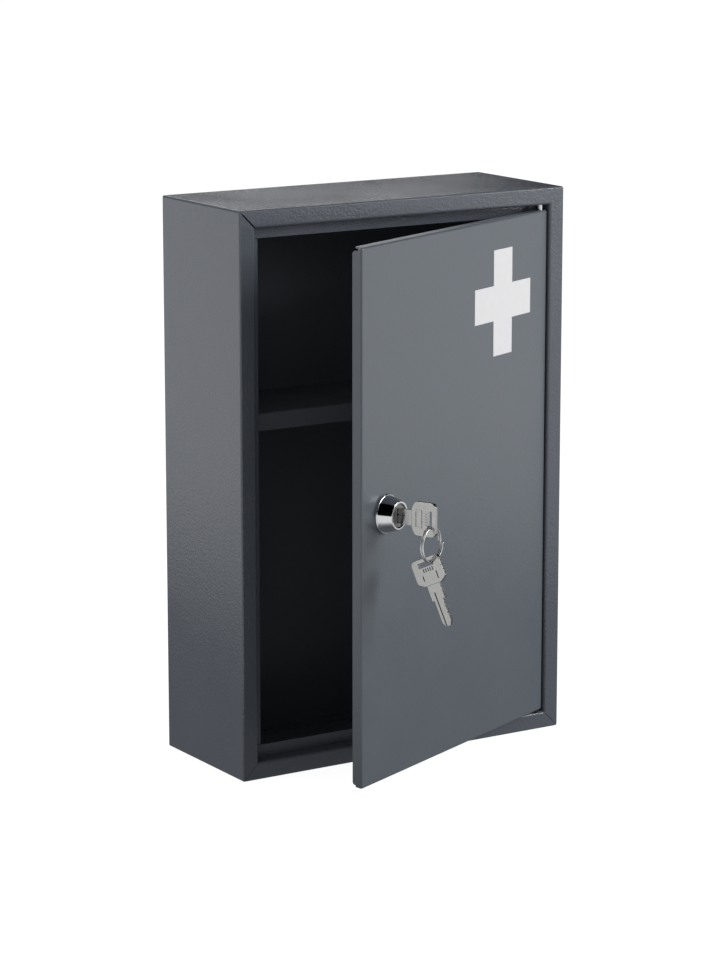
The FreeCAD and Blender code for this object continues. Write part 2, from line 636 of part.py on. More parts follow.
def make_lock_housing():
    """Cone-shaped head, flatted barrel, bore for the core and posts for the stop."""
    body = new_body("lock_housing")
    revolve(body, [
        (PLUG_BORE, "-barrel_length"),
        ("barrel_diameter/2", "-barrel_length"),
        ("barrel_diameter/2", "0"),
        ("head_base_diameter/2", "0"),
        ("head_base_diameter/2", "head_base_height"),
        ("cone_base_diameter/2", "head_base_height"),
        ("cone_front_diameter/2", "head_projection"),
        (COLLAR_BORE + " + mouth_chamfer", "head_projection"),
        (COLLAR_BORE, "head_projection - mouth_chamfer"),
        (COLLAR_BORE, PLUG_SEAT),
        (PLUG_BORE, PLUG_SEAT)])
    rim_reach = size("cone_front_diameter") / 2
    foot_reach = size("head_base_diameter") / 2
    rim = lies_in("z", size("head_projection"))
    foot = lies_in("z", size("head_base_height"))
    rounded = edges_where(body, lambda edge: (
        (rim(edge) and same_place(edge.BoundBox.XMax, rim_reach))
        or (foot(edge) and same_place(edge.BoundBox.XMax, foot_reach))))
    dress(body, "Fillet", rounded, "head_rounding")
    flats = sketch_on(body, "XY_Plane", "-barrel_length - overrun")
    clear = "(barrel_diameter/2 + overrun)"
    rectangle(flats, "barrel_flats/2", "-" + clear, clear, clear)
    rectangle(flats, "-" + clear, "-" + clear, "-barrel_flats/2", clear)
    pocket(body, flats, "barrel_length + overrun", along_normal=True)
    grooves = sketch_on(body, "XY_Plane", "-barrel_length - overrun")
    centred_rectangle(grooves, "groove_width/2", "(" + PLUG_BORE + " + groove_depth)")
    pocket(body, grooves, "barrel_length + overrun + " + PLUG_SEAT + " - groove_roof",
           along_normal=True)
    posts = sketch_on(body, "XY_Plane", "-barrel_length")
    half_post = "stop_post_width/2"
    rectangle(posts, "-" + half_post, "stop_post_root + groove_depth", half_post, "stop_post_end")
    rectangle(posts, "-" + half_post, "-stop_post_end", half_post, "-stop_post_root - groove_depth")
    pad(body, posts, "stop_washer_height + stop_washer_play", against_normal=True)
    body.Placement = lock_frame


def make_lock_nut():
    """Hexagon nut on the barrel, behind the door's sheet."""
    body = new_body("lock_nut")
    sketch = sketch_on(body, "XY_Plane", "-" + NUT_TOP)
    corners = []
    for corner in range(6):
        reach = "nut_flats/sqrt(3)*"
        corners.append((reach + "cos(%d)" % (60 * corner), reach + "sin(%d)" % (60 * corner)))
    outline(sketch, corners)
    circle(sketch, "barrel_diameter + 2*thread_gap")
    pad(body, sketch, "nut_height", against_normal=True)
    top = lies_in("z", -size("sheet_gauge") - size("tooth_washer_height"))
    low = lies_in("z", -size("sheet_gauge") - size("tooth_washer_height") - size("nut_height"))
    straight = edges_where(body, lambda edge: (
        (top(edge) or low(edge)) and edge.Curve.TypeId == "Part::GeomLine"))
    dress(body, "Chamfer", straight, "nut_chamfer")
    body.Placement = lock_frame


def make_lock_washer():
    """Toothed washer between the door's sheet and the nut."""
    body = new_body("lock_washer")
    sketch = sketch_on(body, "XY_Plane", "-sheet_gauge")
    circle(sketch, "tooth_washer_diameter")
    circle(sketch, "barrel_diameter + 2*thread_gap")
    pad(body, sketch, "tooth_washer_height", against_normal=True)
    notch = sketch_on(body, "XY_Plane", "-sheet_gauge")
    circle(notch, "tooth_notch", "tooth_washer_diameter/2")
    cut = pocket(body, notch, "tooth_washer_height + overrun")
    polar_copies(body, cut, TOOTH_COUNT)
    body.Placement = lock_frame


def wafer_levels():
    """Formulas for the upper face of each wafer, in the lock's frame."""
    first = PLUG_FACE + " - wafer_lead"
    return [first + " - %d*wafer_pitch" % number for number in range(WAFER_COUNT)]


def make_lock_plug():
    """Turning core: collar, keyway, wafer slots, flatted tail and screw hole."""
    body = new_body("lock_plug")
    revolve(body, [
        ("0", PLUG_FACE),
        ("collar_diameter/2", PLUG_FACE),
        ("collar_diameter/2", PLUG_FACE + " - collar_height"),
        ("plug_diameter/2", PLUG_FACE + " - collar_height"),
        ("plug_diameter/2", "-barrel_length"),
        ("0", "-barrel_length")])
    tail = sketch_on(body, "XY_Plane", "-barrel_length")
    double_flat(tail, "tail_diameter", "tail_flats")
    pad(body, tail, CAM_BACK + " - barrel_length - tail_relief", against_normal=True)
    keyway = sketch_on(body, "XY_Plane", PLUG_FACE)
    centred_rectangle(
        keyway, "(blade_gauge/2 + key_clearance)", "(blade_height/2 + key_clearance)")
    pocket(body, keyway, "blade_length + key_clearance")
    slots = sketch_on(body, "XZ_Plane")
    pockets = sketch_on(body, "XZ_Plane")
    half_slot = "(wafer_width/2 + wafer_gap)"
    for level in wafer_levels():
        low = level + " - wafer_gauge - wafer_gap"
        high = level + " + wafer_gap"
        rectangle(slots, "-" + half_slot, low, half_slot, high)
        rectangle(pockets, "-" + half_slot + " - wafer_lug", low, half_slot, high)
    pocket(body, slots, "plug_diameter + overrun", both_sides=True)
    pocket(body, pockets, "spring_pocket", both_sides=True)
    screw_hole = sketch_on(body, "XY_Plane", "-" + CAM_BACK)
    circle(screw_hole, "screw_diameter + 2*screw_gap")
    pocket(body, screw_hole, "screw_length - spring_washer_height + screw_gap", along_normal=True)
    body.Placement = lock_frame


def make_tumbler_wafers():
    """Wafers with a window for the blade and a lug for the spring."""
    body = new_body("tumbler_wafers")
    body.AllowCompound = True
    half_x = "wafer_width/2"
    half_y = "wafer_height/2"
    lug_x = "-" + half_x + " - wafer_lug + wafer_gap"
    lug_top = "spring_pocket/2 - wafer_gap"
    cut_x = "(" + half_x + " - wafer_corner)"
    cut_y = "(" + half_y + " - wafer_corner)"
    window_x = "(blade_gauge/2 + key_clearance)"
    window_y = "(" + half_y + " - wafer_bar)"
    for level in wafer_levels():
        sketch = sketch_on(body, "XY_Plane", level)
        outline(sketch, [
            (half_x, "-" + cut_y), (half_x, cut_y), (cut_x, half_y), ("-" + cut_x, half_y),
            ("-" + half_x, cut_y), ("-" + half_x, lug_top), (lug_x, lug_top),
            (lug_x, lug_top + " - lug_height"), ("-" + half_x, lug_top + " - lug_height"),
            ("-" + half_x, "-" + cut_y), ("-" + cut_x, "-" + half_y), (cut_x, "-" + half_y)])
        centred_rectangle(sketch, window_x, window_y)
        pad(body, sketch, "wafer_gauge", against_normal=True)
    body.Placement = lock_frame


def make_tumbler_springs():
    """Springs under the wafer lugs, as plain sleeves of their outer size."""
    body = new_body("tumbler_springs")
    body.AllowCompound = True
    middle_x = "(-wafer_width/2 - wafer_lug/2)"
    floor = "(wafer_gap - spring_pocket/2)"
    for level in wafer_levels():
        sketch = sketch_on(body, "XZ_Plane", "-" + floor)
        middle_z = level + " - wafer_gauge/2"
        circle(sketch, "spring_diameter", middle_x, middle_z)
        circle(sketch, "spring_bore", middle_x, middle_z)
        pad(body, sketch, "spring_pocket - lug_height - 3*wafer_gap", against_normal=True)
    body.Placement = lock_frame


def make_stop_washer():
    """Washer on the tail whose lug meets a post at each end of a quarter turn."""
    body = new_body("stop_washer")
    disc = sketch_on(body, "XY_Plane", "-" + STOP_TOP)
    circle(disc, "stop_washer_diameter")
    pad(body, disc, "stop_washer_height", against_normal=True)
    lug = sketch_on(body, "XY_Plane", "-" + STOP_TOP)
    side = "(stop_post_width/2 + stop_gap)"
    outline(lug, [
        (side, side), ("stop_lug_reach", side), ("stop_lug_reach", "stop_lug_cut"),
        ("stop_lug_cut", "stop_lug_reach"), (side, "stop_lug_reach")])
    pad(body, lug, "stop_washer_height", against_normal=True)
    hole = sketch_on(body, "XY_Plane", "-" + STOP_TOP)
    double_flat(hole, "tail_diameter", "tail_flats", "tail_gap")
    pocket(body, hole, "stop_washer_height + overrun")
    body.Placement = lock_frame


def make_lock_cam():
    """Latch plate that points down at rest and hooks behind the lip when turned."""
    body = new_body("lock_cam")
    sketch = sketch_on(body, "XY_Plane", "-" + CAM_TOP)
    outline(sketch, [
        ("cam_width/2", "cam_heel"), ("-cam_width/2", "cam_heel"), ("-cam_width/2", "-cam_hub"),
        ("-cam_tip_width/2", "-cam_reach"), ("cam_tip_width/2", "-cam_reach"),
        ("cam_width/2", "-cam_hub")])
    pad(body, sketch, "cam_gauge", against_normal=True)
    dress(body, "Fillet", edges_where(body, runs_along("z")), "cam_corner_radius")
    hole = sketch_on(body, "XY_Plane", "-" + CAM_TOP)
    double_flat(hole, "tail_diameter", "tail_flats", "tail_gap")
    pocket(body, hole, "cam_gauge + overrun")
    body.Placement = lock_frame


def make_cam_washer():
    """Split spring washer between the cam and the screw's head."""
    body = new_body("cam_washer")
    ring = sketch_on(body, "XY_Plane", "-" + CAM_BACK)
    circle(ring, "spring_washer_diameter")
    circle(ring, "screw_diameter + 2*screw_gap")
    pad(body, ring, "spring_washer_height", against_normal=True)
    slit = sketch_on(body, "XY_Plane", "-" + CAM_BACK)
    rectangle(slit, "0", "-spring_washer_slit/2",
              "spring_washer_diameter/2 + overrun", "spring_washer_slit/2")
    pocket(body, slit, "spring_washer_height + overrun")
    body.Placement = lock_frame


def make_cam_screw():
    """Pan head screw with a cross recess."""
    body = new_body("cam_screw")
    back = "-(" + SCREW_SEAT + " + screw_head_height)"
    tip = "screw_length - " + SCREW_SEAT
    revolve(body, [
        ("0", back), ("screw_head_diameter/2 - screw_head_rounding", back),
        ("screw_head_diameter/2", back + " + screw_head_rounding"),
        ("screw_head_diameter/2", "-" + SCREW_SEAT), ("screw_diameter/2", "-" + SCREW_SEAT),
        ("screw_diameter/2", tip), ("0", tip)])
    recess = sketch_on(body, "XY_Plane", back)
    long_half = "recess_span/2"
    thin_half = "recess_width/2"
    outline(recess, [
        (long_half, "-" + thin_half), (long_half, thin_half), (thin_half, thin_half),
        (thin_half, long_half), ("-" + thin_half, long_half), ("-" + thin_half, thin_half),
        ("-" + long_half, thin_half), ("-" + long_half, "-" + thin_half),
        ("-" + thin_half, "-" + thin_half), ("-" + thin_half, "-" + long_half),
        (thin_half, "-" + long_half), (thin_half, "-" + thin_half)])
    pocket(body, recess, "recess_depth", along_normal=True)
    body.Placement = lock_frame


# Keys and ring

def make_key(label, place):
    """Flat key: blade with bits below and grooves, neck, and a bow with slot, frame and ribs."""
    body = new_body(label)
    shank = sketch_on(body, "YZ_Plane", "-blade_gauge/2")
    half_blade = "blade_height/2"
    edge = [("-" + half_blade, "0"), ("-" + half_blade, "blade_point - blade_length"),
            ("-blade_tip_height/2", "-blade_length"), ("blade_tip_height/2", "-blade_length"),
            (half_blade, "blade_point - blade_length")]
    for number in reversed(range(WAFER_COUNT)):
        share = BIT_DEPTH_SHARES[number % len(BIT_DEPTH_SHARES)]
        middle = "(-wafer_lead - %d*wafer_pitch - wafer_gauge/2)" % number
        floor = half_blade + " - %g*bit_depth" % share
        edge += [(half_blade, middle + " - bit_width/2"), (floor, middle + " - bit_width/4"),
                 (floor, middle + " + bit_width/4"), (half_blade, middle + " + bit_width/2")]
    edge += [(half_blade, "0"), ("neck_height/2", "0"), ("neck_height/2", "neck_length + bow_slope"),
             ("-neck_height/2", "neck_length + bow_slope"), ("-neck_height/2", "0")]
    outline(shank, [("-(" + across + ")", along) for across, along in edge])
    pad(body, shank, "blade_gauge")
    for side, outward in (("", True), ("-", False)):
        groove = sketch_on(body, "YZ_Plane", side + "(blade_gauge/2 - blade_groove_depth)")
        rectangle(groove, "blade_groove_rise - blade_groove/2", "-blade_length - overrun",
                  "blade_groove_rise + blade_groove/2", "neck_length/2")
        pocket(body, groove, "blade_groove_depth + overrun", along_normal=outward)
    bow = sketch_on(body, "YZ_Plane", "-key_gauge/2")
    half_bow = "bow_height/2"
    outline(bow, [
        ("bow_shoulder/2", "neck_length"), (half_bow, "neck_length + bow_slope"),
        (half_bow, BOW_END + " - bow_crown"), (half_bow + " - bow_crown", BOW_END),
        ("bow_crown - " + half_bow, BOW_END), ("-" + half_bow, BOW_END + " - bow_crown"),
        ("-" + half_bow, "neck_length + bow_slope"), ("-bow_shoulder/2", "neck_length")])
    pad(body, bow, "key_gauge")
    bow_low = size("neck_length") - NEAR_SHARE
    outside = runs_along("x")
    bow_corners = edges_where(body, lambda item: (
        outside(item) and item.BoundBox.ZMin > bow_low
        and same_place(item.Length, size("key_gauge"))))
    dress(body, "Fillet", bow_corners, "bow_corner_radius")
    faces = [lies_in("x", side * size("key_gauge") / 2) for side in (-1, 1)]
    rims = edges_where(body, lambda item: any(face(item) for face in faces))
    dress(body, "Fillet", rims, "bow_edge_radius")
    slot = sketch_on(body, "YZ_Plane")
    rectangle(slot, "-slot_length/2", SLOT_MIDDLE + " - slot_width/2",
              "slot_length/2", SLOT_MIDDLE + " + slot_width/2")
    pocket(body, slot, "key_gauge + overrun", both_sides=True)
    add_bow_relief(body)
    body.Placement = place


def add_bow_relief(body):
    """Raised bare frame and a row of ribs on both faces of the bow."""
    frame_low = "(neck_length + frame_start)"
    for side, turned in (("", False), ("-", True)):
        sketch = sketch_on(body, "YZ_Plane", side + "key_gauge/2")
        rectangle(sketch, "-frame_height/2", frame_low,
                  "frame_height/2", frame_low + " + frame_length")
        rectangle(sketch, "frame_rim - frame_height/2", frame_low + " + frame_rim",
                  "frame_height/2 - frame_rim", frame_low + " + frame_length - frame_rim")
        pad(body, sketch, "relief", against_normal=turned)
        ribs = sketch_on(body, "YZ_Plane", side + "key_gauge/2")
        for number in range(RIB_COUNT):
            middle = "(%g*rib_pitch)" % (number - (RIB_COUNT - 1) / 2)
            rectangle(ribs, middle + " - rib_width/2", "neck_length + rib_start",
                      middle + " + rib_width/2", "neck_length + rib_start + rib_length")
        pad(body, ribs, "relief", against_normal=turned)


def arc_between(start, heading, end):
    """Arc that leaves start along heading and reaches end."""
    chord = end.sub(start)
    straight = FreeCAD.Vector(chord).normalize()
    lean = heading.getAngle(chord)
    aside = heading.sub(straight * heading.dot(straight)).normalize()
    middle = start + chord * 0.5 + aside * (chord.Length / 2 * math.tan(lean / 2))
    return Part.Arc(start, middle, end).toShape()


def biarc(start, heading, end, end_heading):
    """Two arcs that join two points along two given headings."""
    chord = end.sub(start)
    headings = heading.add(end_heading)
    turn = 2 * (1 - heading.dot(end_heading))
    along = chord.dot(headings)
    reach = (math.sqrt(along ** 2 + turn * chord.dot(chord)) - along) / turn
    joint = (start + heading * reach + end - end_heading * reach) * 0.5
    return [arc_between(start, heading, joint), arc_between(end, -end_heading, joint)]


def make_key_ring(centre):
    """Split ring: one unbroken wire wound two turns about the lock's direction."""
    radius = size("ring_diameter") / 2
    pitch = size("wire_pitch")
    rise = pitch / (2 * math.pi)

    def point(turn):
        return centre + FreeCAD.Vector(
            radius * math.cos(turn), radius * math.sin(turn), rise * (turn - RING_TURNS * math.pi))

    def heading(turn):
        return FreeCAD.Vector(-radius * math.sin(turn), radius * math.cos(turn), rise).normalize()

    quarter = math.pi / 2
    edges = []
    for step in range(4 * RING_TURNS):
        start = step * quarter
        end = start + quarter
        edges += biarc(point(start), heading(start), point(end), heading(end))
    path = Part.Wire(Part.__sortEdges__(edges))
    section = Part.Wire(Part.Circle(point(0), heading(0), size("wire_diameter") / 2).toShape())
    tube = path.makePipeShell([section], True, False)
    samples = [point(step * quarter / 12) for step in range(48 * RING_TURNS + 1)]
    least = min(samples[first].distanceToPoint(samples[second])
                for first in range(len(samples)) for second in range(first + 36, len(samples)))
    print("key_ring gap to itself %.3f" % (least - size("wire_diameter")))
    length = path.Length * math.pi * size("wire_diameter") ** 2 / 4
    print("key_ring volume %.3f, section times length %.3f" % (tube.Volume, length))
    ring = doc.addObject("Part::Feature", "key_ring")
    ring.Label = "key_ring"
    ring.Shape = tube
    ring.Placement = lock_frame
    nodes.append(ring)


make_cabinet_shell()
make_back_panel()
make_shelf()
make_hinge_pin("hinge_pin_upper", "door_gap_top",
               FreeCAD.Placement(hinge_axis + Z_AXIS * open_z, FreeCAD.Rotation()))
make_hinge_pin("hinge_pin_lower", "door_gap_bottom",
               FreeCAD.Placement(hinge_axis - Z_AXIS * open_z, FreeCAD.Rotation(X_AXIS, 180)))
make_hinge_washer()
make_door_panel()
make_cross_decal()
make_lock_housing()
make_lock_nut()
make_lock_washer()
make_lock_plug()
make_tumbler_wafers()
make_tumbler_springs()
make_stop_washer()
make_lock_cam()
make_cam_washer()
make_cam_screw()

# The ring hangs in the slot of the key in the lock, the spare key at the ring's lowest point.
half_wire = size("wire_diameter") / 2
ring_top = half_wire + size("ring_hang_gap") - size("slot_length") / 2
ring_centre = FreeCAD.Vector(0, ring_top - size("ring_diameter") / 2, key_seat + slot_middle)
pair_reach = size("wire_pitch") / 2 + half_wire
ring_shift = Z_AXIS * (size("wire_pitch") / 4)
spare_pivot = FreeCAD.Vector(
    0, ring_centre.y - size("ring_diameter") / 2, ring_centre.z + size("wire_pitch") / 2)
spare_turn = FreeCAD.Rotation(X_AXIS, -90 - size("spare_tilt"))
slot_end = FreeCAD.Vector(
    0, pair_reach + size("ring_end_gap") - size("slot_length") / 2, slot_middle)

make_key("lock_key", lock_frame.multiply(
    FreeCAD.Placement(Z_AXIS * key_seat, FreeCAD.Rotation())))
make_key_ring(ring_centre + ring_shift)
make_key("spare_key", lock_frame.multiply(
    FreeCAD.Placement(spare_pivot - spare_turn.multVec(slot_end), spare_turn)))

doc.recompute()
for item in doc.Objects:
    if "Invalid" in item.State or "Error" in item.State:
        raise RuntimeError("%s failed: %s" % (item.Label, item.State))
os.makedirs("parts", exist_ok=True)
for node in nodes:
    shape = node.Shape
    if shape.isNull() or not shape.isValid():
        raise RuntimeError(node.Label + " has no valid shape")
    shape.exportStep("parts/%s.step" % node.Label)
    print("%-16s solids %d volume %.2f" % (node.Label, len(shape.Solids), shape.Volume))
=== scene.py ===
import json
import math

import bpy
import numpy as np
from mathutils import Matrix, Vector


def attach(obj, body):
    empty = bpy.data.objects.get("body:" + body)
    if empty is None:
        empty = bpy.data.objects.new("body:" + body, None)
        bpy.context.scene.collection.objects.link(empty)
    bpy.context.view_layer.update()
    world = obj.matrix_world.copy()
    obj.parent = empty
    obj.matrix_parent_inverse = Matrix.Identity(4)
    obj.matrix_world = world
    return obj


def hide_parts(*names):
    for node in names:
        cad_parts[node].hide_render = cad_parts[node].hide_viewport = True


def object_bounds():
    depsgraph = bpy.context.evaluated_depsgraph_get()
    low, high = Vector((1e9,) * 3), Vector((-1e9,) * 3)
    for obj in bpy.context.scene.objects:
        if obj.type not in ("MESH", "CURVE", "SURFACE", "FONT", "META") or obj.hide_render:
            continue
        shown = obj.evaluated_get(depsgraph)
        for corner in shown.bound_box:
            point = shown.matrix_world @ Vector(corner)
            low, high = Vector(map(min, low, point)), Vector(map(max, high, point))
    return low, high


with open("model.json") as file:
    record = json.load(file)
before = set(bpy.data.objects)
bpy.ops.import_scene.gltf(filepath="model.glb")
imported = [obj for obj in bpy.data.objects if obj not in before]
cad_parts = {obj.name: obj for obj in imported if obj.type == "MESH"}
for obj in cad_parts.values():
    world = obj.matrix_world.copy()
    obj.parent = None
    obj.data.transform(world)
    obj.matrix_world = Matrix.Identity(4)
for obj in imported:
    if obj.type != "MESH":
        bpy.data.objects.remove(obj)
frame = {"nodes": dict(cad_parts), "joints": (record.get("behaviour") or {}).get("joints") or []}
cad_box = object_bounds()

# Dresses the steel medicine cabinet: finishes for each piece, the wound key ring, floor, light, camera.

MM = 0.001
MICRON = 1e-6
WHITE = (1.0, 1.0, 1.0, 1.0)

# Noise mostly stays between these two values.
NOISE_LOW = 0.3
NOISE_HIGH = 0.7


def linear(hex_code):
    """Turns an sRGB hex colour into the linear RGBA that shaders use."""
    parts = np.array([int(hex_code[i:i + 2], 16) for i in (1, 3, 5)]) / 255.0
    rgb = np.where(parts <= 0.04045, parts / 12.92, ((parts + 0.055) / 1.055) ** 2.4)
    return (*rgb.tolist(), 1.0)


def add(tree, kind, feeds=None, **settings):
    """Adds one node, sets its properties and fills its inputs with values or other nodes' outputs."""
    made = tree.nodes.new(kind)
    for name, value in settings.items():
        setattr(made, name, value)
    for socket, value in (feeds or {}).items():
        if isinstance(value, bpy.types.NodeSocket):
            tree.links.new(value, made.inputs[socket])
        else:
            made.inputs[socket].default_value = value
    return made


def new_material(name):
    """Empty node material, its tree and its output."""
    material = bpy.data.materials.new(name)
    material.use_nodes = True
    tree = material.node_tree
    tree.nodes.clear()
    return material, tree, add(tree, "ShaderNodeOutputMaterial")


def piece_place(tree):
    """Place on the piece, in metres."""
    return add(tree, "ShaderNodeTexCoord").outputs["Object"]


def noise(tree, place, size_mm, detail, roughness):
    """Noise whose features have about this size."""
    made = add(tree, "ShaderNodeTexNoise", {
        "Vector": place, "Scale": 1.0 / (size_mm * MM), "Detail": detail, "Roughness": roughness})
    return made.outputs["Fac"]


def spread(tree, value, least=0.0, most=1.0, low=NOISE_LOW, high=NOISE_HIGH):
    """Spreads a value that lies between low and high from least to most."""
    made = add(tree, "ShaderNodeMapRange", {
        "Value": value, "From Min": low, "From Max": high, "To Min": least, "To Max": most})
    return made.outputs["Result"]


def tinted(tree, share, first, second):
    """Goes from the first sRGB hex colour to the second as the share goes from 0 to 1."""
    made = add(tree, "ShaderNodeMix", {
        "Factor": share, "A": linear(first), "B": linear(second)}, data_type="RGBA")
    return made.outputs["Result"]


def surface(tree, output, colour, roughness, height, relief_um, **constants):
    """Ends a material: colour, roughness, and a height between 0 and 1 that stands for relief_um."""
    bump = add(tree, "ShaderNodeBump", {
        "Height": height, "Strength": 1.0, "Distance": relief_um * MICRON})
    shader = add(tree, "ShaderNodeBsdfPrincipled", {
        "Base Color": colour, "Roughness": roughness, "Normal": bump.outputs["Normal"], **constants})
    tree.links.new(shader.outputs["BSDF"], output.inputs["Surface"])


# Powder coat: its soft clouds, their weight and the specks' in the colour, and the specks' in the relief.
CLOUD_MM = 38.0
CLOUD_WEIGHT = 0.35
SPECK_WEIGHT = 0.65
SPECK_RELIEF = 0.2
# How far the roughness swings down and up.
SMOOTHER = 0.04
ROUGHER = 0.05
# The grain is finer than a pixel on the real cabinet, so it is drawn at nearly a millimetre.
GRAIN_MM = 0.8


def powder_coat(name, colour, pale, peel_mm, relief_um, gloss):
    """Polyester powder coat, baked: satin grey film whose orange peel breaks up the highlights."""
    material, tree, output = new_material(name)
    place = piece_place(tree)
    cloud = noise(tree, place, CLOUD_MM, detail=3.0, roughness=0.5)
    speck = noise(tree, place, GRAIN_MM, detail=2.0, roughness=0.6)
    peel = noise(tree, place, peel_mm, detail=1.5, roughness=0.45)
    tone = add(tree, "ShaderNodeMath", {0: cloud, 1: CLOUD_WEIGHT}, operation="MULTIPLY")
    mixed = add(tree, "ShaderNodeMath", {
        0: speck, 1: SPECK_WEIGHT, 2: tone.outputs["Value"]}, operation="MULTIPLY_ADD")
    tint = tinted(tree, spread(tree, mixed.outputs["Value"]), colour, pale)
    sheen = spread(tree, cloud, gloss - SMOOTHER, gloss + ROUGHER)
    height = add(tree, "ShaderNodeMath", {0: speck, 1: SPECK_RELIEF, 2: peel}, operation="MULTIPLY_ADD")
    surface(tree, output, tint, sheen, height.outputs["Value"], relief_um, IOR=1.5)
    return material


# Metal: size of the handling marks, the span of lines times marks, and how far the roughness swings.
MARKS_MM = 3.5
STREAKS_LOW = 0.12
STREAKS_HIGH = 0.4
SMOOTHER_TIMES = 0.8
ROUGHER_TIMES = 1.25
EVEN = (1, 1, 1)


def plated_metal(name, colour, shade, roughness, lines_mm, relief_um, stretch=EVEN):
    """Metal with a drawn or brushed grain: fine streaks along one direction and faint handling marks."""
    material, tree, output = new_material(name)
    place = piece_place(tree)
    drawn = add(tree, "ShaderNodeMapping", {"Vector": place, "Scale": stretch})
    lines = noise(tree, drawn.outputs["Vector"], lines_mm, detail=2.0, roughness=0.6)
    marks = noise(tree, place, MARKS_MM, detail=4.0, roughness=0.65)
    mixed = add(tree, "ShaderNodeMath", {0: lines, 1: marks}, operation="MULTIPLY")
    streaks = spread(tree, mixed.outputs["Value"], low=STREAKS_LOW, high=STREAKS_HIGH)
    tint = tinted(tree, streaks, shade, colour)
    rough = spread(tree, marks, roughness * SMOOTHER_TIMES, roughness * ROUGHER_TIMES)
    surface(tree, output, tint, rough, lines, relief_um, Metallic=1.0)
    return material


# Polymer: how far the roughness swings.
POLYMER_SWING = 0.04


def smooth_polymer(name, colour, shade, roughness, mottle_mm, relief_um):
    """Film or moulded polymer: even colour with a faint mottle and a soft, slightly uneven sheen."""
    material, tree, output = new_material(name)
    mottle = noise(tree, piece_place(tree), mottle_mm, detail=3.0, roughness=0.55)
    tint = tinted(tree, spread(tree, mottle), shade, colour)
    rough = spread(tree, mottle, roughness - POLYMER_SWING, roughness + POLYMER_SWING)
    surface(tree, output, tint, rough, mottle, relief_um, IOR=1.49)
    return material


# Finishes

# Polyester powder coat on folded steel, baked: satin slate grey, its highlights softened by orange peel.
body_coat = powder_coat("body_powder_coat", "#5E636C", "#646972",
                        peel_mm=1.3, relief_um=150, gloss=0.215)
# The same powder on the flat door, which takes it more evenly: a smoother, slightly paler face.
door_coat = powder_coat("door_powder_coat", "#5F666E", "#646B73",
                        peel_mm=1.6, relief_um=70, gloss=0.33)
# The same powder inside, where less of the spray reaches: a thinner, drier film. Its colour, a little
# darker and more neutral than the body's, is painted shade of the dim inside.
inner_coat_painted_shade = powder_coat("inner_powder_coat_painted_shade", "#5B5F65", "#64686E",
                         peel_mm=1.3, relief_um=80, gloss=0.36)
# Cast vinyl film, cut by a blade: an even, bright white with a soft sheen.
film = smooth_polymer("white_vinyl_film", "#F5F4F6", "#F2F1F3",
                      roughness=0.38, mottle_mm=6.0, relief_um=2)
# Moulded nylon: near black and waxy, so its highlights are broad and dull.
nylon = smooth_polymer("black_nylon", "#2A2B2D", "#232426",
                       roughness=0.45, mottle_mm=2.0, relief_um=4)
# Chrome on a polished zinc casting: a mirror, so the cone splits into the pale floor and the dark room.
chrome = plated_metal("polished_chrome_plate", "#D2D3D5", "#C8C9CC",
                      roughness=0.09, lines_mm=0.5, relief_um=0.6)
# Nickel plate, tumbled in a drum: a soft grey with faint, upright scuffs.
nickel = plated_metal("tumbled_nickel_plate", "#B4B4B3", "#A2A2A1",
                      roughness=0.21, lines_mm=0.5, relief_um=1, stretch=(1, 1, 0.3))
# Nickel plate on the turned core, worn by keys: a duller grey. Its darker grey is painted shade of the
# plug face sunk in the cone's mouth.
core = plated_metal("nickel_plated_core_painted_shade", "#8A8A89", "#747473",
                    roughness=0.36, lines_mm=0.3, relief_um=2)
# Hard drawn wire, plated bright: one soft line of light along each turn.
wire = plated_metal("bright_drawn_wire", "#D5D5D4", "#C2C2C1",
                    roughness=0.38, lines_mm=0.3, relief_um=1.5)
# Bright zinc plate on stampings: cool and a little cloudy.
zinc = plated_metal("bright_zinc_plate", "#C6C9CC", "#ADB0B3",
                    roughness=0.36, lines_mm=0.6, relief_um=4)
# Turned steel: fine rings round the pin, which stretch its highlight lengthwise.
pin = plated_metal("turned_steel", "#CFD0D1", "#B8B9BA",
                   roughness=0.2, lines_mm=0.2, relief_um=2, stretch=(1, 1, 6))
# Drawn spring steel: grey with a dull gleam.
spring = plated_metal("drawn_spring_steel", "#B9BABB", "#9FA0A1",
                      roughness=0.25, lines_mm=0.3, relief_um=2)
# Stamped brass: warm yellow, dulled by the press.
brass = plated_metal("stamped_brass", "#C9A75B", "#B08E45",
                     roughness=0.3, lines_mm=0.5, relief_um=3)

FINISH = {
    "cabinet_shell": body_coat, "back_panel": inner_coat_painted_shade, "shelf": inner_coat_painted_shade,
    "door_panel": door_coat, "cross_decal": film,
    "hinge_pin_upper": pin, "hinge_pin_lower": pin, "hinge_washer": nylon,
    "lock_housing": chrome, "lock_nut": zinc, "lock_washer": zinc,
    "lock_plug": core, "tumbler_wafers": brass, "tumbler_springs": spring,
    "stop_washer": zinc, "lock_cam": zinc, "cam_washer": zinc, "cam_screw": zinc,
    "lock_key": nickel, "spare_key": nickel, "key_ring": wire,
}
for node_name, node in frame["nodes"].items():
    for slot in node.material_slots:
        slot.material = FINISH[node_name]


# The split ring, wound again as a smooth tube in the place of its solid.
RING_RADIUS = 9.4 * MM
WIRE_RADIUS = 0.45 * MM
WIRE_PITCH = 1.34 * MM
RING_TURNS = 2
END_ROUND = 0.3 * MM
joints = {joint["name"]: joint for joint in frame["joints"]}
outward = -np.array(joints["lock_turn"]["axis"])
upward = np.array((0.0, 0.0, 1.0))
sideways = np.cross(upward, outward)
ring_low = np.array(joints["spare_key_swing"]["pos_m"])
# A quarter pitch back, so that the lowest points of both turns lie evenly about the spare key's pivot.
ring_centre = ring_low + upward * RING_RADIUS - outward * WIRE_PITCH / 4


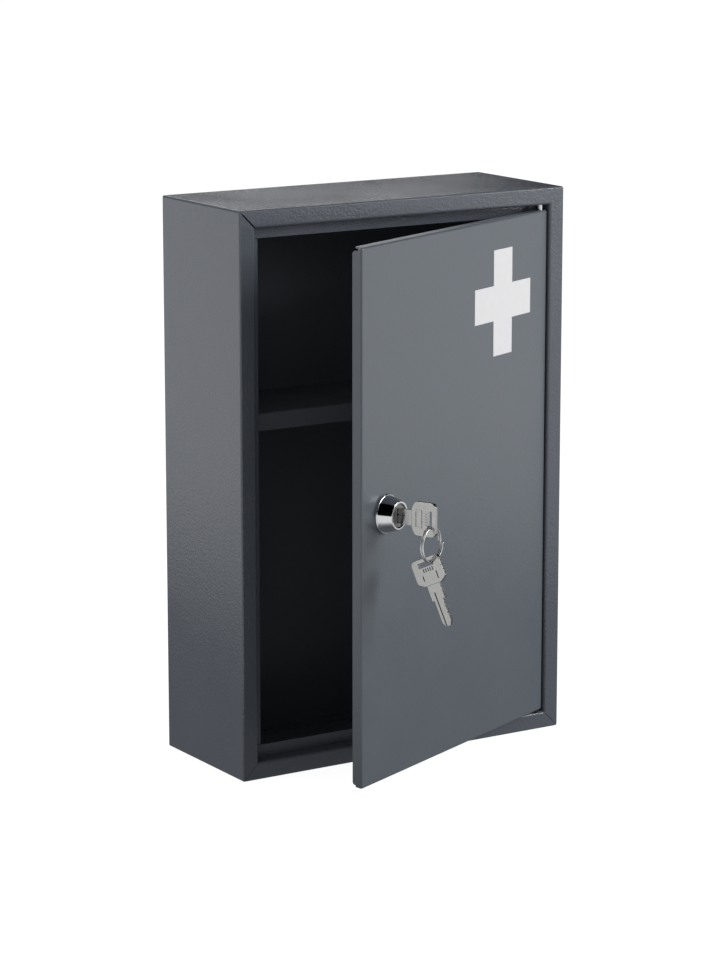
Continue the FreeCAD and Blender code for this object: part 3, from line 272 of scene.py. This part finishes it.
def wound_ring(steps=480, around=28):
    """Tube on a helix, for turn t from 0 to 2 pi n and angle a round the wire:
    centre + R radial(t) + pitch (t / 2 pi - n / 2) outward + r(t) (radial(t) cos a + binormal(t) sin a),
    where r(t) is the wire's radius, less a quarter round over the END_ROUND of wire at both ends.
    """
    turn = np.linspace(0, RING_TURNS * 2 * np.pi, steps)
    rise = WIRE_PITCH / (2 * np.pi)
    radial = np.cos(turn)[:, None] * sideways + np.sin(turn)[:, None] * upward
    tangent = -np.sin(turn)[:, None] * sideways + np.cos(turn)[:, None] * upward
    heading = tangent * RING_RADIUS + outward * rise
    heading /= np.linalg.norm(heading, axis=1, keepdims=True)
    binormal = np.cross(heading, radial)
    middle = ring_centre + radial * RING_RADIUS + outward * (rise * (turn - RING_TURNS * np.pi))[:, None]
    run = turn * math.hypot(RING_RADIUS, rise)
    depth = np.clip(np.minimum(run, run[-1] - run) / END_ROUND, 0, 1)
    reach = WIRE_RADIUS - END_ROUND * (1 - np.sqrt(1 - (1 - depth) ** 2))
    angle = np.linspace(0, 2 * np.pi, around, endpoint=False)[None, :, None]
    circle = radial[:, None] * np.cos(angle) + binormal[:, None] * np.sin(angle)
    points = (middle[:, None] + circle * reach[:, None, None]).reshape(-1, 3)
    along, across = np.meshgrid(np.arange(steps - 1), np.arange(around), indexing="ij")
    beside = (across + 1) % around
    faces = np.stack([along * around + across, (along + 1) * around + across,
                      (along + 1) * around + beside, along * around + beside], -1).reshape(-1, 4).tolist()
    faces.append(list(range(around)))
    faces.append(list(range((steps - 1) * around, steps * around))[::-1])
    mesh = bpy.data.meshes.new("wound_key_ring")
    mesh.from_pydata(points.tolist(), [], faces)
    mesh.polygons.foreach_set("use_smooth", np.ones(len(mesh.polygons), bool))
    mesh.materials.append(wire)
    made = bpy.data.objects.new("wound_key_ring", mesh)
    bpy.context.scene.collection.objects.link(made)
    return made


key_ring = wound_ring()
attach(key_ring, "ring")
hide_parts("key_ring")


# Floor, light and camera
scene = bpy.context.scene
FLOOR_HALF = 40.0
FLOOR_GAP = 0.2 * MM
floor_level = cad_box[0][2] - FLOOR_GAP


def floor_plane(name, material):
    """Square sheet under the cabinet."""
    signs = ((-1, -1), (1, -1), (1, 1), (-1, 1))
    corners = [(x * FLOOR_HALF, y * FLOOR_HALF, floor_level) for x, y in signs]
    mesh = bpy.data.meshes.new(name)
    mesh.from_pydata(corners, [], [(0, 1, 2, 3)])
    mesh.materials.append(material)
    plane = bpy.data.objects.new(name, mesh)
    scene.collection.objects.link(plane)
    return plane


# Backlit acrylic: a floor so bright that it meets the backdrop without a line.
FLOOR_GLOW = 0.96
acrylic, tree, output = new_material("backlit_white_acrylic")
glow = add(tree, "ShaderNodeBsdfPrincipled", {
    "Base Color": linear("#6E6E6E"), "Roughness": 0.9, "Specular IOR Level": 0.1,
    "Emission Color": WHITE, "Emission Strength": FLOOR_GLOW})
tree.links.new(glow.outputs["BSDF"], output.inputs["Surface"])
floor = floor_plane("studio_floor", acrylic)
floor.visible_diffuse = False
floor.visible_glossy = False

# White card that only glossy faces see: they mirror the dim floor close by and bright boards further out.
# Each board: the way to it, and how far out in metres it starts and is full.
BOARDS = [
    ((-1.0, 0.0, 0.0), 0.25, 0.44),
    ((0.56, -0.83, 0.0), 0.43, 0.63),
    ((-0.5, -0.87, 0.0), 0.20, 0.34),
    ((0.6, 0.8, 0.0), 0.20, 0.38),
]
NEAR_GLOW = 0.15
BOARD_GLOW = 1.0
card, tree, output = new_material("white_card")
place = piece_place(tree)
brightest = 0.0
for way, starts, full in BOARDS:
    reach = add(tree, "ShaderNodeVectorMath", {0: place, 1: way}, operation="DOT_PRODUCT")
    share = add(tree, "ShaderNodeMapRange", {
        "Value": reach.outputs["Value"], "From Min": starts, "From Max": full},
        interpolation_type="SMOOTHSTEP")
    most = add(tree, "ShaderNodeMath", {
        0: share.outputs["Result"], 1: brightest}, operation="MAXIMUM")
    brightest = most.outputs["Value"]
strength = spread(tree, brightest, NEAR_GLOW, BOARD_GLOW, low=0.0, high=1.0)
glow = add(tree, "ShaderNodeEmission", {"Strength": strength})
tree.links.new(glow.outputs["Emission"], output.inputs["Surface"])
mirrored = floor_plane("mirrored_floor", card)
mirrored.visible_camera = False
mirrored.visible_diffuse = False
mirrored.visible_shadow = False

WORLD_STRENGTH = 0.275
world = bpy.data.worlds.new("studio")
world.use_nodes = True
background = world.node_tree.nodes["Background"]
background.inputs["Color"].default_value = WHITE
background.inputs["Strength"].default_value = WORLD_STRENGTH
world.cycles_visibility.glossy = False
scene.world = world

# Softboxes: name, place, aim and size in metres, watts
SOFTBOXES = [
    ("key_right", (1.35, -1.15, 0.6), (0.0, -0.12, 0.03), (0.9, 0.6), 18.0),
    ("key_low", (1.2, -1.3, 0.25), (0.0, -0.12, 0.03), (0.9, 0.5), 2.8),
    ("rear_right", (0.6, 1.4, 0.7), (0.0, -0.04, 0.16), (0.8, 0.3), 1.7),
    ("left_high", (-1.0, 0.4, 1.2), (-0.05, -0.04, 0.1), (0.7, 0.7), 9.5),
    ("left", (-1.4, 0.0, 0.4), (-0.1, -0.08, 0.0), (0.7, 0.6), 1.7),
]
for name, stand, aim, size, watts in SOFTBOXES:
    lamp = bpy.data.lights.new(name, "AREA")
    lamp.shape = "RECTANGLE"
    lamp.size, lamp.size_y = size
    lamp.energy = watts
    softbox = bpy.data.objects.new(name, lamp)
    softbox.location = stand
    softbox.rotation_euler = (Vector(aim) - Vector(stand)).to_track_quat("-Z", "Y").to_euler()
    scene.collection.objects.link(softbox)

# Camera where the photograph was taken, with its lens in pixels of the frame's long side.
LENS_PX = 3304.66
FRAME_LONG_PX = 960
SENSOR_MM = 36.0
CAMERA_PLACE = (-0.99907, -1.61435, 0.38377)
CAMERA_YAW = math.radians(32.3435)
CAMERA_PITCH = math.radians(11.8555)
CLIP_END = 200.0
camera_data = bpy.data.cameras.new("photo_camera")
camera_data.sensor_width = SENSOR_MM
camera_data.lens = LENS_PX / FRAME_LONG_PX * SENSOR_MM
camera_data.clip_end = CLIP_END
camera = bpy.data.objects.new("photo_camera", camera_data)
camera.location = CAMERA_PLACE
sight = Vector((math.sin(CAMERA_YAW) * math.cos(CAMERA_PITCH),
                math.cos(CAMERA_YAW) * math.cos(CAMERA_PITCH), -math.sin(CAMERA_PITCH)))
camera.rotation_euler = sight.to_track_quat("-Z", "Y").to_euler()
scene.collection.objects.link(camera)
scene.camera = camera
scene.view_settings.view_transform = "Standard"
